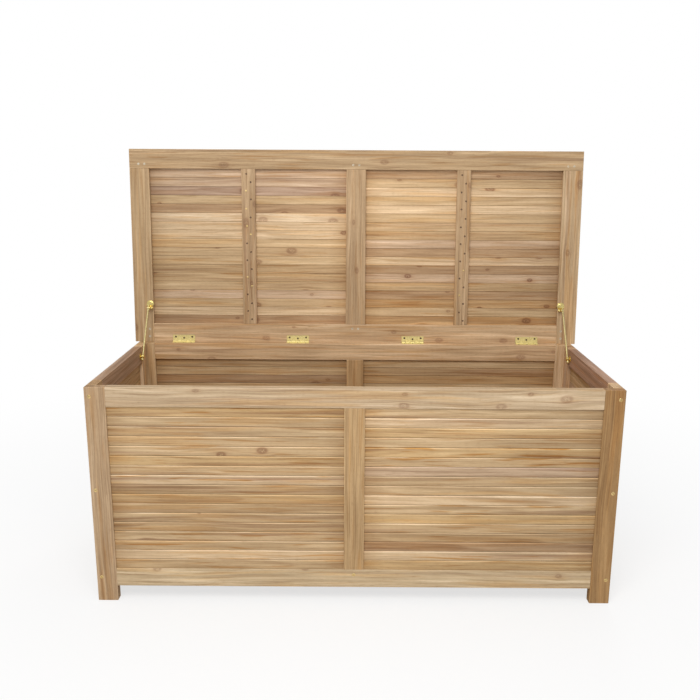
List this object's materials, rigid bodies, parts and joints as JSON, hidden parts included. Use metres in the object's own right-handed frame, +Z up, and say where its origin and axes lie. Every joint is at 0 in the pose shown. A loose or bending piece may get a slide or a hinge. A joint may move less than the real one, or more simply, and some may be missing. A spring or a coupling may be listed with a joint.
{
  "type": "deck storage box",
  "caption": "Slatted hardwood deck box on corner legs, with a framed slatted lid on brass butt hinges, held open by sliding brass rod stays.",
  "frame": {"origin": "on the ground, under the middle of the whole object as it stands with the lid open", "axes": "+X along the long side to the right, +Y to the back where the hinges are, +Z up"},
  "size_m": [1.51, 0.6952, 1.2801],
  "materials": {
    "teak_frame": "planed and sanded teak, unvarnished, fine straight grain",
    "teak_slats": "sanded teak slats, colour varies from slat to slat, a few small knots",
    "brass": "polished solid brass"
  },
  "bodies": {
    "box": {"front_left_leg": "teak_frame", "front_right_leg": "teak_frame", "front_top_rail": "teak_frame", "front_bottom_rail": "teak_frame", "front_centre_stile": "teak_frame", "back_left_leg": "teak_frame", "back_right_leg": "teak_frame", "back_top_rail": "teak_frame", "back_bottom_rail": "teak_frame", "back_centre_stile": "teak_frame", "left_end_front_stile": "teak_frame", "left_end_back_stile": "teak_frame", "left_end_top_rail": "teak_frame", "left_end_bottom_rail": "teak_frame", "right_end_front_stile": "teak_frame", "right_end_back_stile": "teak_frame", "right_end_top_rail": "teak_frame", "right_end_bottom_rail": "teak_frame", "floor_bearer_left": "teak_frame", "floor_bearer_centre": "teak_frame", "floor_bearer_right": "teak_frame", "front_slats_left": "teak_slats", "front_slats_right": "teak_slats", "back_slats_left": "teak_slats", "back_slats_right": "teak_slats", "left_end_slats": "teak_slats", "right_end_slats": "teak_slats", "floor_boards_left": "teak_slats", "floor_boards_right": "teak_slats", "hinge_1_box_leaf": "brass", "hinge_1_pin": "brass", "hinge_2_box_leaf": "brass", "hinge_2_pin": "brass", "hinge_3_box_leaf": "brass", "hinge_3_pin": "brass", "hinge_4_box_leaf": "brass", "hinge_4_pin": "brass", "left_stay_box_plate": "brass", "right_stay_box_plate": "brass"},
    "lid": {"lid_front_rail": "teak_frame", "lid_rear_rail": "teak_frame", "lid_left_stile": "teak_frame", "lid_right_stile": "teak_frame", "lid_centre_stile": "teak_frame", "lid_batten_left": "teak_frame", "lid_batten_right": "teak_frame", "lid_slats_left": "teak_slats", "lid_slats_right": "teak_slats", "hinge_1_lid_leaf": "brass", "hinge_2_lid_leaf": "brass", "hinge_3_lid_leaf": "brass", "hinge_4_lid_leaf": "brass", "left_stay_lid_plate": "brass", "left_stay_pivot_pin": "brass", "right_stay_lid_plate": "brass", "right_stay_pivot_pin": "brass"},
    "left_rod": {"left_stay_rod": "brass"},
    "left_swivel": {"left_stay_swivel": "brass"},
    "right_rod": {"right_stay_rod": "brass"},
    "right_swivel": {"right_stay_swivel": "brass"}
  },
  "joints": [
    {"name": "lid_hinge", "type": "hinge", "parent": "box", "child": "lid", "pos_m": [0, 0.27093, 0.6405], "axis": [1, 0, 0], "range_deg": [0, 94.4]},
    {"name": "left_rod_pivot", "type": "hinge", "parent": "lid", "child": "left_rod", "pos_m": [-0.7045, 0.26775, 0.75558], "axis": [1, 0, 0], "range_deg": [-47.2, 0]},
    {"name": "left_swivel_turn", "type": "hinge", "parent": "box", "child": "left_swivel", "pos_m": [-0.7045, 0.15973, 0.6107], "axis": [1, 0, 0], "range_deg": [0, 47.2]},
    {"name": "right_rod_pivot", "type": "hinge", "parent": "lid", "child": "right_rod", "pos_m": [0.7045, 0.26775, 0.75558], "axis": [1, 0, 0], "range_deg": [-47.2, 0]},
    {"name": "right_swivel_turn", "type": "hinge", "parent": "box", "child": "right_swivel", "pos_m": [0.7045, 0.15973, 0.6107], "axis": [1, 0, 0], "range_deg": [0, 47.2]}
  ],
  "couplings": [
    {"joint": "left_rod_pivot", "follows": "lid_hinge", "ratio": -0.5},
    {"joint": "left_swivel_turn", "follows": "lid_hinge", "ratio": 0.5},
    {"joint": "right_rod_pivot", "follows": "lid_hinge", "ratio": -0.5},
    {"joint": "right_swivel_turn", "follows": "lid_hinge", "ratio": 0.5}
  ]
}
